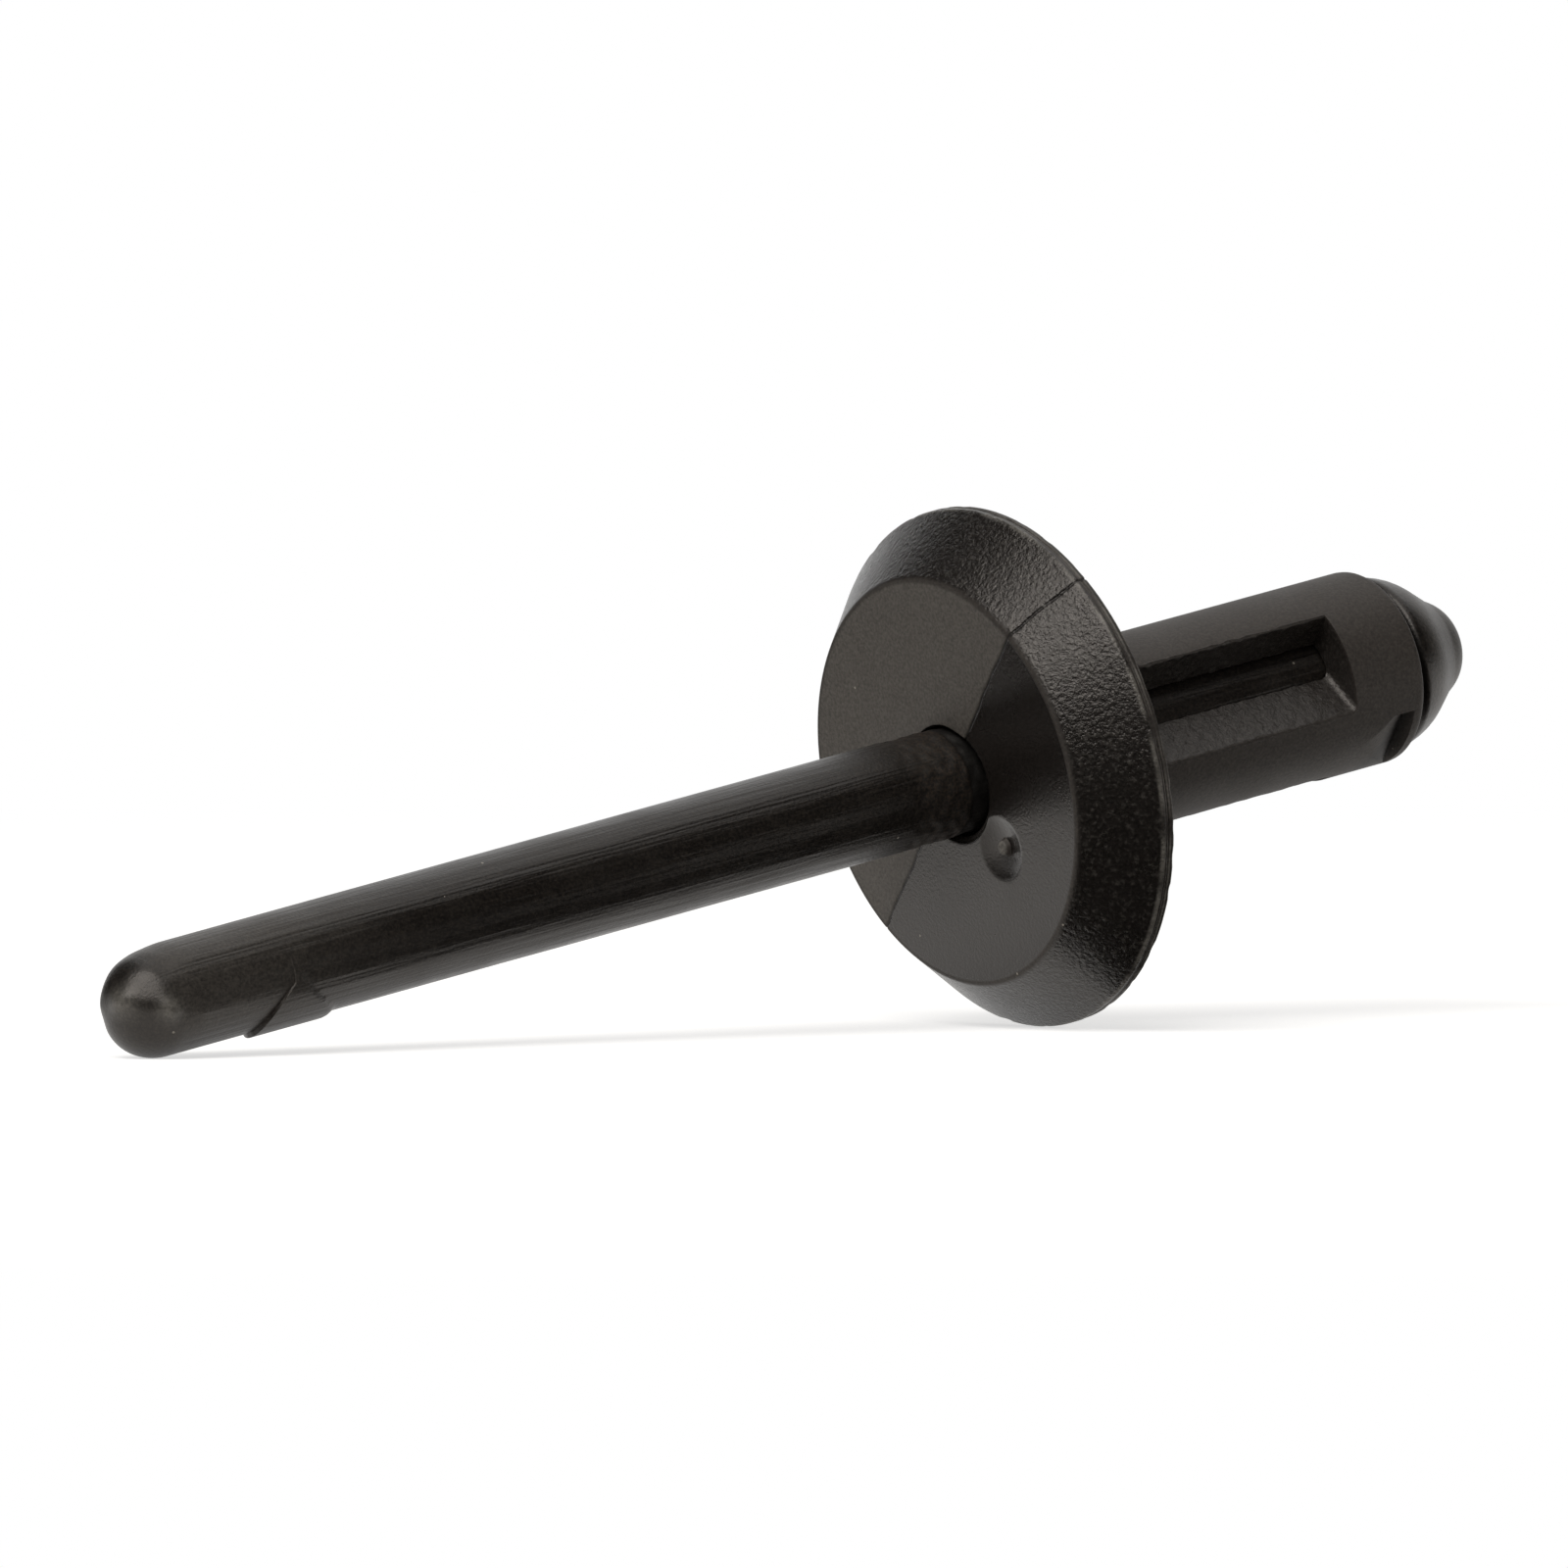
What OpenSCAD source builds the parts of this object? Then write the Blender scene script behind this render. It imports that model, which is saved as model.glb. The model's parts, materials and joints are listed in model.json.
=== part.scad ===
// Plastic blind rivet: a flanged body with a slotted sleeve, and the mandrel that is pulled to set it.
// It lies as it comes to rest, on the end of the stem and the rim of the flange.
// The origin is the centre of the flange's underside, and +X runs towards the blind end.

/* [Flange] */
// Diameter of the flange at its rim
flange_d = 16.9; // [15:0.1:22]
// Radial width of the bevel between the flat face and the rim
bevel_w = 1.85; // [1:0.05:2.4]
// Height of the bevel
bevel_h = 2.1; // [1:0.05:3]
// Height of the upright rim under the bevel
rim_h = 0.4; // [0.3:0.05:1]
// Depth of the fine groove round the rim
groove_depth = 0.06; // [0.02:0.01:0.12]
// Width of that groove
groove_w = 0.1; // [0.04:0.02:0.2]

/* [Sleeve] */
// Outer diameter of the sleeve, which passes through the panel hole
sleeve_d = 6.3; // [5.8:0.1:7.5]
// Draft of the sleeve: how much thinner than the collar it is at its blind end
sleeve_draft = 0.04; // [0:0.01:0.1]
// Length of the sleeve from the flange's underside to its blind end
sleeve_len = 14.6; // [11:0.1:24]
// Length of the plain collar between the flange and the slots
collar_len = 3; // [1.5:0.1:5]
// Length of the closed ring beyond the slots
ring_len = 2.8; // [2.5:0.1:5]
// Width of the leg that lies between the two side slots
leg_w = 2.96; // [2.4:0.02:3.2]
// Width of the slot opposite that leg
slot_w = 3.1; // [2.4:0.02:3.4]
// Corner radius at the ends of the slots
slot_round = 0.25; // [0.1:0.05:0.5]
// Edge radius at the blind end of the sleeve
end_round = 0.25; // [0.1:0.05:0.4]
// Width of the countersink at the mouth of the hole
mouth_w = 0.15; // [0.05:0.05:0.4]
// Depth of the countersink at the mouth of the hole
mouth_depth = 0.3; // [0.1:0.05:0.8]

/* [Fold pocket] */
// Length of the ramped pocket past the end of the slots
pocket_len = 2.35; // [1:0.05:2.45]
// Width of the pocket across the leg
pocket_w = 2; // [1:0.1:2.4]
// Depth of the pocket at its blind end
pocket_depth = 0.55; // [0.2:0.05:0.7]

/* [Gate mark] */
// Diameter of the dimple left by the gate on the face
dimple_d = 2.1; // [1:0.05:2.2]
// Depth of the dimple
dimple_depth = 0.22; // [0.1:0.02:0.4]
// Distance of the dimple from the rivet's axis
dimple_pos = 3.12; // [2.6:0.02:4]
// Diameter of the torn nub at its root
nub_d = 0.62; // [0.4:0.02:0.8]
// Diameter of the nub at its torn top
nub_top_d = 0.34; // [0.2:0.02:0.4]
// Height of the nub above the bottom of the dimple
nub_h = 0.26; // [0.1:0.02:0.4]

/* [Mandrel] */
// Diameter of the stem and the shaft
stem_d = 3.56; // [3:0.02:3.8]
// Length of the stem that stands out of the flange
stem_len = 33.9; // [28:0.1:50]
// Running clearance between the shaft and the bore, on the radius
run_clear = 0.07; // [0.03:0.01:0.1]
// Diameter of the head at its shoulder
head_d = 5.68; // [5.2:0.02:5.8]
// Diameter of the flat of the head that bears on the sleeve
seat_d = 4.6; // [4.2:0.1:5]
// Axial gap between the sleeve's end and the edge of the shoulder
shoulder_gap = 0.35; // [0.1:0.05:0.6]
// Length of the conical part of the head
cone_len = 2.3; // [1.5:0.1:4]
// Diameter of the nose
nose_d = 3; // [1.6:0.1:4]
// Height of the domed nose
nose_h = 0.75; // [0.3:0.05:1.5]

/* [Break neck] */
// Diameter at the bottom of the notch where the stem snaps off
neck_d = 2.5; // [1.6:0.1:2.8]
// Width of the notch along the shaft
neck_w = 0.9; // [0.4:0.1:1.4]
// Distance of the notch from the head
neck_pos = 1.2; // [0.8:0.1:2]

/* [Trimmed gate] */
// Height of the gate remnant that stands proud of the stem
lug_h = 0.15; // [0.1:0.01:0.3]
// Length of the remnant along the stem
lug_len = 3.3; // [1:0.1:6]
// Length over which its inner end runs out
lug_runout = 0.8; // [0.3:0.1:0.9]
// Distance of the remnant from the stem's end
lug_pos = 5; // [3:0.1:12]

/* [Lie] */
// Turn of the body about its axis, from the leg pointing down
body_turn = -48; // [-180:1:180]
// Turn of the mandrel about its axis, from the remnant pointing down
mandrel_turn = -21; // [-40:1:40]

/* [Hidden] */
$fn = 96;
// Overlap that carries a cut clear of the surface it starts from
cut = 1;
nose_steps = 12;

flange_r = flange_d / 2;
face_r = flange_r - bevel_w;
flange_h = bevel_h + rim_h;
sleeve_r = sleeve_d / 2;
sleeve_end_r = (sleeve_d - sleeve_draft) / 2;
stem_r = stem_d / 2;
bore_r = stem_r + run_clear;
mouth_r = bore_r + mouth_w;
slot_len = sleeve_len - collar_len - ring_len;
slot_end = collar_len + slot_len;
head_r = head_d / 2;
nose_r = nose_d / 2;
dimple_ball = (pow(dimple_d / 2, 2) + pow(dimple_depth, 2)) / (2 * dimple_depth);

// Angle at which the axis rises from the floor, which the round stem end and the rim's upper edge both touch
rest_span = bevel_h + stem_len - stem_r;
lie_angle = atan2(flange_r, rest_span) - asin(stem_r / norm([rest_span, flange_r]));

// Lays a piece down. Until then its axis is Z, with the flange's underside at z = 0 and the blind end up,
// and its +X side becomes the lower one
module lie_down(turn) {
    rotate([0, 90 - lie_angle, 0]) rotate(turn) children();
}

// Rectangle with round corners, from the origin to size
module round_slot(size, r) {
    translate([r, 0]) square([size[0] - 2 * r, size[1]]);
    translate([0, r]) square([size[0], size[1] - 2 * r]);
    for (x = [r, size[0] - r], y = [r, size[1] - r])
        translate([x, y]) circle(r);
}

// Half section of the flange and the sleeve, bore included
module body_section() {
    polygon([
        [mouth_r, -flange_h],
        [face_r, -flange_h],
        [flange_r, -rim_h],
        [flange_r, -(rim_h + groove_w) / 2],
        [flange_r - groove_depth, -rim_h / 2],
        [flange_r, -(rim_h - groove_w) / 2],
        [flange_r, 0],
        [sleeve_r, 0],
        [sleeve_r, collar_len],
        [sleeve_end_r, sleeve_len - end_round],
        [sleeve_end_r - end_round, sleeve_len - end_round],
        [sleeve_end_r - end_round, sleeve_len],
        [bore_r, sleeve_len],
        [bore_r, mouth_depth - flange_h]
    ]);
    translate([sleeve_end_r - end_round, sleeve_len - end_round]) circle(end_round);
}

// A slot through the sleeve's wall: it opens towards +X, and spans y_from to y_from + width
module slot_cut(y_from, width) {
    translate([0, y_from, collar_len]) rotate([90, 0, 90])
        linear_extrude(sleeve_r + cut) round_slot([width, slot_len], slot_round);
}

// Ramp that thins the leg towards the blind end, so that the leg folds outwards there
module pocket_cut() {
    translate([sleeve_r, pocket_w / 2, slot_end]) rotate([90, 0, 0])
        linear_extrude(pocket_w)
            polygon([[0, 0], [cut, 0], [cut, pocket_len], [-pocket_depth, pocket_len]]);
}

// Shallow dimple of the gate in the flat face
module gate_dimple() {
    translate([dimple_pos, 0, dimple_depth - flange_h - dimple_ball]) sphere(dimple_ball);
}

// Nub where the gate was torn off, rooted below the bottom of the dimple
module gate_nub() {
    root = dimple_depth / 2;
    translate([dimple_pos, 0, dimple_depth + root - flange_h]) mirror([0, 0, 1]) {
        cylinder(h = root, d = nub_d);
        translate([0, 0, root]) cylinder(h = nub_h, d1 = nub_d, d2 = nub_top_d);
    }
}

module rivet_body() {
    side = sleeve_r + cut;
    color("#2b2927") lie_down(body_turn) {
        difference() {
            rotate_extrude() body_section();
            // The two side slots reach from the leg's flanks to the middle plane of the mould
            slot_cut(leg_w / 2, side);
            slot_cut(-leg_w / 2 - side, side);
            // The third slot faces the other way
            rotate(180) slot_cut(-slot_w / 2, slot_w);
            pocket_cut();
            gate_dimple();
        }
        gate_nub();
    }
}

// Point on the elliptical dome of the nose, from its edge at 0 degrees to its tip at 90
function nose_point(base, a) = [nose_r * cos(a), base + nose_h * sin(a)];

// Half section of the stem's shaft, the notch, the head and its nose
module mandrel_section() {
    shoulder = sleeve_len + shoulder_gap;
    nose_base = shoulder + cone_len;
    neck = sleeve_len - neck_pos;
    polygon(concat(
        [
            [0, stem_r - flange_h - stem_len],
            [stem_r, stem_r - flange_h - stem_len],
            [stem_r, neck - neck_w / 2],
            [neck_d / 2, neck],
            [stem_r, neck + neck_w / 2],
            [stem_r, sleeve_len],
            [seat_d / 2, sleeve_len],
            [head_r, shoulder]
        ],
        [for (i = [0:nose_steps]) nose_point(nose_base, 90 * i / nose_steps)]
    ));
}

// Remnant of the trimmed gate: a stretch of stem set off to one side, run out at its inner end
module gate_remnant() {
    start = lug_pos - flange_h - stem_len;
    difference() {
        translate([lug_h, 0, start]) cylinder(h = lug_len, r = stem_r);
        translate([stem_r + lug_h, -stem_r, start + lug_len - lug_runout])
            rotate([0, -atan2(lug_h, lug_runout), 0]) cube([stem_r, stem_d, lug_len]);
    }
}

module mandrel() {
    color("#262422") lie_down(mandrel_turn) {
        rotate_extrude() mandrel_section();
        translate([0, 0, stem_r - flange_h - stem_len]) sphere(stem_r);
        gate_remnant();
    }
}

rivet_body();
mandrel();
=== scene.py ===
import json
import math

import bpy
import numpy as np
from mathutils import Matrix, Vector


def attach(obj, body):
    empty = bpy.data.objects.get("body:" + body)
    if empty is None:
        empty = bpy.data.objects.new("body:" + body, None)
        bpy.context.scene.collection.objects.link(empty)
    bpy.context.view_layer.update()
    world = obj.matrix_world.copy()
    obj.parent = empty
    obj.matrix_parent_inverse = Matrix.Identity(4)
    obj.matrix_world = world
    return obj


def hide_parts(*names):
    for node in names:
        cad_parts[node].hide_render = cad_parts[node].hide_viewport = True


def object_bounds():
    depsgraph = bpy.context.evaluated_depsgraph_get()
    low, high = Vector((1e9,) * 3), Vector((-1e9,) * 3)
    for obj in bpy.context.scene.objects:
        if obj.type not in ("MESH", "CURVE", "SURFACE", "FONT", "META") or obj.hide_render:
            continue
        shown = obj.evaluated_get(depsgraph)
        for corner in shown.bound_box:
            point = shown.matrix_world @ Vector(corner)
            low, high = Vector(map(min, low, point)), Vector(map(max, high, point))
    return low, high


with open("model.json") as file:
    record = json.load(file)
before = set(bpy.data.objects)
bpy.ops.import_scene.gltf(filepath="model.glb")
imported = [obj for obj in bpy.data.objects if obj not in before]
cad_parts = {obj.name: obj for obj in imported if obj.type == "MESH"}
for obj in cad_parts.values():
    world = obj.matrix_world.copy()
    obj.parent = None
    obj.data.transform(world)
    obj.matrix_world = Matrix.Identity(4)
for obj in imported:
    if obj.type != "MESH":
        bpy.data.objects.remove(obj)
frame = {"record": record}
CAD_BOX = [list(corner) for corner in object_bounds()]

bl_info = {
    "name": "Plastic blind rivet",
    "version": (1, 0, 0),
    "blender": (4, 5, 0),
    "location": "View3D > Sidebar > Rivet",
    "description": "Dresses the packed solids of a black plastic blind rivet and sets its studio",
    "category": "Object",
}

MM = 0.001
# The rivet's axis in the frame, from the flange to the blind end
AXIS = np.array(frame["record"]["mounts"][0]["axis"])
# The two directions across it: towards the floor, and level
LOWER = np.array([AXIS[2], 0.0, -AXIS[0]])
SIDE = np.array([0.0, 1.0, 0.0])

BODY_PLASTIC = "Black nylon, moulded, spark-eroded bevel"
MANDREL_PLASTIC = "Black acetal, moulded, satin"

# Small sizes that repeat the solids, in millimetres
# The fine groove round the rim: its depth and half its width
GROOVE_DEPTH, GROOVE_HALF = 0.06, 0.05
# The countersink of the hole's mouth: its width and depth
MOUTH_W, MOUTH_DEPTH = 0.15, 0.3
# The gate's dimple: its distance from the axis, its radius and depth, and the nub's radius and height in it
DIMPLE_POS, DIMPLE_R, DIMPLE_DEPTH = 3.12, 1.05, 0.22
NUB_R, NUB_H = 0.31, 0.24
# The sleeve's edge at the blind end, up to which it tapers
END_ROUND = 0.25
# The fold pocket: its length and depth, and the y of its upper wall
POCKET_LEN, POCKET_DEPTH, POCKET_WALL = 2.35, 0.55, -1.0
# The head: the radius of its seat, and the lengths from seat to shoulder and from shoulder to nose
SEAT_R, SHOULDER_GAP, CONE_LEN = 2.3, 0.35, 2.3
# The nose's height, a hair less than the solid's
NOSE_RISE = 0.738
# The break neck: its distance from the seat, its radius and half its width
NECK_POS, NECK_R, NECK_HALF = 1.2, 1.25, 0.45
# The trimmed gate on the stem: where it starts, its length and its height
LUG_START, LUG_LEN, LUG_H = -31.4, 3.3, 0.15

# Small unevenness that the solids leave out, in millimetres
# The mouth is wider by the first on one side, and by the second less than that on the other
MOUTH_WIDER, MOUTH_SWING = 0.16, 0.3
# The parting line over the flange: its width and depth, and the depth of the rim's nicks
PARTING_W, PARTING_DEPTH, NICK_DEPTH = 0.045, 0.045, 0.035
# The legs' rounded edges and how far that round changes, and the flanks' lumps
EDGE_ROUND, EDGE_CHANGE, FLANK_LUMP = 0.11, 0.05, 0.02
# The power by which the pocket's ramp falls
POCKET_CURVE = 2.8
# The mandrel: its sunk end, the lumps and the waist of its root, and the waves and parting lines of its stem
END_SUNK, ROOT_LUMP, WAIST, STEM_WAVE, STEM_LINE = 0.13, 0.028, 0.03, 0.006, 0.006
# Knobs of the stem's end: place along the axis, degrees round it from the gate, width and height
END_KNOBS = ((-36.27, -106.8, 0.52, 0.15), (-35.15, -68.0, 0.42, 0.19))

# The stage, in metres: half the floor's side, and the cloths' distance
FLOOR_SPAN = 12.0
CLOTH_REACH = 1.2
# The floor turns plain white between these distances from the rivet, and nearer it is lifted by this much
FLOOR_FADE = (0.06, 0.16)
FLOOR_LIFT = 0.6
# Each cloth from one bearing to another and from one height to another, in degrees. The bearing runs from the
# camera's side towards its right
CLOTHS = {
    "cloth_front": (-80, 20, 0, 24),
    "cloth_right": (20, 134, 2, 54),
    "cloth_left": (-150, -62, 3, 62),
}
# The cloths on the floor: how far each reaches in front of the rivet and along it
MATS = {
    "mat_front": (0.004, 0.9, -0.6, 0.03),
    "mat_back": (-0.12, -0.022, -0.16, -0.012),
}
# The softbox: its sides, and the way to it by right, towards the camera and up
SOFTBOX_SIDES = (0.46, 0.38)
SOFTBOX_WAY = (-0.30, 0.62, 0.72)
# The picture's side in pixels, and how far right of and above its middle the centre of the flat face lies
PICTURE = 1600
FACE_AT = (166, 2)


class RivetSizes(bpy.types.PropertyGroup):
    """Sizes of the two mouldings. They repeat the solids, so they change together with them."""

    flange_r: bpy.props.FloatProperty(
        name="Flange radius", description="Radius of the flange at its rim",
        default=8.45 * MM, unit="LENGTH")
    face_r: bpy.props.FloatProperty(
        name="Face radius", description="Radius of the flat face inside the bevel",
        default=6.6 * MM, unit="LENGTH")
    flange_h: bpy.props.FloatProperty(
        name="Flange height", description="Height of the flange from its underside to the flat face",
        default=2.5 * MM, unit="LENGTH")
    rim_h: bpy.props.FloatProperty(
        name="Rim height", description="Height of the upright rim",
        default=0.4 * MM, unit="LENGTH")
    sleeve_r: bpy.props.FloatProperty(
        name="Sleeve radius", description="Outer radius of the sleeve at its collar",
        default=3.15 * MM, unit="LENGTH")
    sleeve_end_r: bpy.props.FloatProperty(
        name="Sleeve end radius", description="Outer radius of the sleeve at its blind end",
        default=3.13 * MM, unit="LENGTH")
    bore_r: bpy.props.FloatProperty(
        name="Bore radius", description="Radius of the bore that the shaft runs in",
        default=1.85 * MM, unit="LENGTH")
    mouth_r: bpy.props.FloatProperty(
        name="Mouth radius", description="Radius of the hole's countersunk mouth",
        default=2.0 * MM, unit="LENGTH")
    collar_end: bpy.props.FloatProperty(
        name="Collar end", description="Where the slots start, from the flange's underside",
        default=3.0 * MM, unit="LENGTH")
    slot_end: bpy.props.FloatProperty(
        name="Slot end", description="Where the slots end, from the flange's underside",
        default=11.8 * MM, unit="LENGTH")
    sleeve_len: bpy.props.FloatProperty(
        name="Sleeve length", description="Length of the sleeve from the flange's underside",
        default=14.6 * MM, unit="LENGTH")
    leg_w: bpy.props.FloatProperty(
        name="Leg width", description="Width of the leg between the two side slots",
        default=2.96 * MM, unit="LENGTH")
    slot_w: bpy.props.FloatProperty(
        name="Slot width", description="Width of the slot opposite that leg",
        default=3.1 * MM, unit="LENGTH")
    slot_round: bpy.props.FloatProperty(
        name="Slot round", description="Corner radius at the ends of the slots",
        default=0.25 * MM, unit="LENGTH")
    stem_r: bpy.props.FloatProperty(
        name="Stem radius", description="Radius of the stem and the shaft",
        default=1.78 * MM, unit="LENGTH")
    stem_len: bpy.props.FloatProperty(
        name="Stem length", description="Length of the stem in front of the flat face",
        default=33.9 * MM, unit="LENGTH")
    head_r: bpy.props.FloatProperty(
        name="Head radius", description="Radius of the mandrel's head at its shoulder",
        default=2.84 * MM, unit="LENGTH")
    nose_r: bpy.props.FloatProperty(
        name="Nose radius", description="Radius of the domed nose",
        default=1.5 * MM, unit="LENGTH")
    body_turn: bpy.props.FloatProperty(
        name="Body turn", description="Turn of the body about its axis",
        default=math.radians(-48), unit="ROTATION")
    mandrel_turn: bpy.props.FloatProperty(
        name="Mandrel turn", description="Turn of the mandrel about its axis",
        default=math.radians(-21), unit="ROTATION")


class RivetFinish(bpy.types.PropertyGroup):
    """Colours, gloss and grain of the two plastics."""

    body_colour: bpy.props.StringProperty(
        name="Body colour", description="sRGB hex of the body's nylon", default="#2f2a26")
    bevel_colour: bpy.props.StringProperty(
        # Also painted on the gate's half of the face, as shade for the stem's dark reflection
        name="Bevel colour", description="sRGB hex of the eroded bevel, whose pits trap light",
        default="#1a1715")
    # Painted sheen: a paler colour on the face's other half, the stem's upper side towards its end and the head
    sheen_colour: bpy.props.StringProperty(
        name="Haze colour", description="sRGB hex of the hazy half of the face", default="#4a4641")
    mandrel_colour: bpy.props.StringProperty(
        name="Mandrel colour", description="sRGB hex of the mandrel's acetal", default="#151210")
    mottle_colour: bpy.props.StringProperty(
        name="Mottle colour", description="sRGB hex of the paler spots of the body's skin", default="#312d29")
    cloud_colour: bpy.props.StringProperty(
        name="Cloud colour", description="sRGB hex of the paler spots of the mandrel's skin",
        default="#211d19")
    # Also painted shade: in the fold pocket, in the hole's mouth and under the head
    parting_and_shade_colour: bpy.props.StringProperty(
        name="Parting colour", description="sRGB hex in the mould's parting lines", default="#080706")
    # Painted highlights: on the rim's edges, the torn nub, the stem end's knobs and the bevel's crests
    highlight_colour: bpy.props.StringProperty(
        name="Scuff colour", description="sRGB hex of rubbed edges", default="#57544f")
    # Painted shade where the stem enters the flange: the flange's dark reflection in the stem
    root_shade_colour: bpy.props.StringProperty(
        name="Grime colour", description="sRGB hex of the smear at the hole", default="#281f17")
    dust_colour: bpy.props.StringProperty(
        name="Dust colour", description="sRGB hex of the dust", default="#8c867c")
    grain_size: bpy.props.FloatProperty(
        name="Grain size", description="Width of one pit of the spark-eroded bevel",
        default=0.12 * MM, unit="LENGTH")
    grain_depth: bpy.props.FloatProperty(
        name="Grain depth", description="Depth of those pits",
        default=0.05 * MM, unit="LENGTH")
    body_roughness: bpy.props.FloatProperty(
        name="Body roughness", description="Roughness of the sleeve's moulded skin",
        default=0.62, min=0.0, max=1.0, subtype="FACTOR")
    mandrel_roughness: bpy.props.FloatProperty(
        name="Mandrel roughness", description="Roughness of the mandrel's skin",
        default=0.36, min=0.0, max=1.0, subtype="FACTOR")
    grain_change: bpy.props.FloatProperty(
        name="Bevel change", description="Change of roughness on the spark-eroded bevel",
        default=-0.34, min=-0.4, max=0.4)
    plain_change: bpy.props.FloatProperty(
        name="Face change", description="Change of roughness on the flat face",
        default=-0.17, min=-0.4, max=0.4)
    gate_change: bpy.props.FloatProperty(
        name="Gate half change", description="Further change of roughness on the gate's half of the face",
        default=-0.19, min=-0.4, max=0.4)


class RivetStage(bpy.types.PropertyGroup):
    """Floor, light and camera."""

    azimuth: bpy.props.FloatProperty(
        name="Azimuth", description="Camera azimuth round the rivet",
        default=math.radians(-37.2), unit="ROTATION")
    elevation: bpy.props.FloatProperty(
        name="Elevation", description="Camera height above the horizon",
        default=math.radians(2.5), unit="ROTATION")
    frame_width: bpy.props.FloatProperty(
        name="Frame width", description="Width that the picture covers at the rivet",
        default=49.9 * MM, unit="LENGTH")
    distance: bpy.props.FloatProperty(
        name="Distance", description="Camera's distance from the rivet",
        default=2.3, unit="LENGTH")
    key_power: bpy.props.FloatProperty(
        name="Key power", description="Power of the softbox above the camera",
        default=2.0, unit="POWER")
    key_reach: bpy.props.FloatProperty(
        name="Key distance", description="Distance of that softbox from the rivet",
        default=0.6, unit="LENGTH")
    room_level: bpy.props.FloatProperty(
        name="Room level", description="Brightness of the white room round the set",
        default=0.3, min=0.0, max=1.0)
    floor_colour: bpy.props.StringProperty(
        name="Floor colour", description="sRGB hex of the floor", default="#f2f1ef")


# Small tools

def linear(hex_colour):
    """sRGB hex to a linear RGBA tuple."""
    value = np.array([int(hex_colour[i:i + 2], 16) for i in (1, 3, 5)]) / 255
    value = np.where(value <= 0.04045, value / 12.92, ((value + 0.055) / 1.055) ** 2.4)
    return (*value.tolist(), 1.0)


def add_node(tree, kind, settings=None, **links):
    """Adds one node. settings sets its properties and sockets, links joins its inputs to outputs.

    A socket goes by its name, or by its number: 7 in settings, i7 in links.
    """
    node = tree.nodes.new(kind)
    for key, value in (settings or {}).items():
        if isinstance(key, int) or key in node.inputs:
            node.inputs[key].default_value = value
        else:
            setattr(node, key, value)
    for key, output in links.items():
        numbered = key[0] == "i" and key[1:].isdigit()
        socket = node.inputs[int(key[1:]) if numbered else key.replace("_", " ")]
        tree.links.new(output, socket)
    return node


def blank_material(name):
    """A new material, and its node tree with nothing in it."""
    material = bpy.data.materials.new(name)
    material.use_nodes = True
    material.node_tree.nodes.clear()
    return material, material.node_tree


def background_rays(tree):
    """1 for the rays that see the background: from the camera, and by reflection or through glass."""
    path = add_node(tree, "ShaderNodeLightPath").outputs
    seen = add_node(tree, "ShaderNodeMath", {"operation": "MAXIMUM"},
                    i0=path["Is Camera Ray"], i1=path["Is Glossy Ray"])
    return add_node(tree, "ShaderNodeMath", {"operation": "MAXIMUM"},
                    i0=seen.outputs[0], i1=path["Is Transmission Ray"]).outputs[0]


def hang(cloth, material):
    """Makes an object a cloth of the stage, which only reflections see."""
    cloth.data.materials.append(material)
    cloth.visible_camera = cloth.visible_diffuse = cloth.visible_transmission = False
    cloth.visible_shadow = cloth.visible_volume_scatter = False


def laid(x, y, z, turn):
    """Points in millimetres about the rivet's axis, turned about it and laid down, in metres in the frame."""
    c, s = math.cos(turn), math.sin(turn)
    across, side = c * x - s * y, s * x + c * y
    return (across[..., None] * LOWER + side[..., None] * SIDE + z[..., None] * AXIS) * MM


def smoothstep(low, high, value):
    """0 below low, 1 above high and a smooth cubic between."""
    t = np.clip((value - low) / (high - low), 0, 1)
    return t * t * (3 - 2 * t)


def ripple(x, y, z, pitch, seed):
    """Smooth noise of about -1 to 1: a mean of sine waves near that pitch, of seeded direction and phase."""
    count, gain = 25, 3.3
    rng = np.random.default_rng(seed)
    waves = rng.normal(size=(count, 3))
    length = np.linalg.norm(waves, axis=1)
    waves *= (2 * math.pi / pitch * rng.uniform(0.5, 1.5, count) / length)[:, None]
    phase = rng.uniform(0, 2 * math.pi, count)
    points = np.stack([x, y, z], -1)
    return np.sin(points @ waves.T + phase).mean(-1) * gain


def rounded(corners):
    """Samples a section of straight runs with rounded corners.

    Each corner is (r, z, radius, rows of the run that follows). A corner of some radius becomes five points
    of the parabola that touches both runs at that distance from the corner. Returns r, z and the run's
    number, which for a corner is half a number less than for the run that follows.
    """
    rs, zs, runs = [], [], []
    points = np.array([c[:2] for c in corners], float)
    count = len(points)
    for i, (_, _, radius, rows) in enumerate(corners):
        here, after, before = points[i], points[(i + 1) % count], points[i - 1]
        ahead = (after - here) / np.linalg.norm(after - here)
        behind = (before - here) / np.linalg.norm(before - here)
        if radius > 0:
            t = np.linspace(0, 1, 5)[:, None]
            p, q = here + behind * radius, here + ahead * radius
            arc = (1 - t) ** 2 * p + 2 * t * (1 - t) * here + t ** 2 * q
        else:
            arc = here[None]
        end = after - ahead * corners[(i + 1) % count][2]
        t = np.linspace(0, 1, rows + 2)[1:-1, None]
        run = arc[-1] + (end - arc[-1]) * t
        rs += [arc[:, 0], run[:, 0]]
        zs += [arc[:, 1], run[:, 1]]
        runs += [np.full(len(arc), i - 0.5), np.full(len(run), float(i))]
    return np.concatenate(rs), np.concatenate(zs), np.concatenate(runs)


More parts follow.
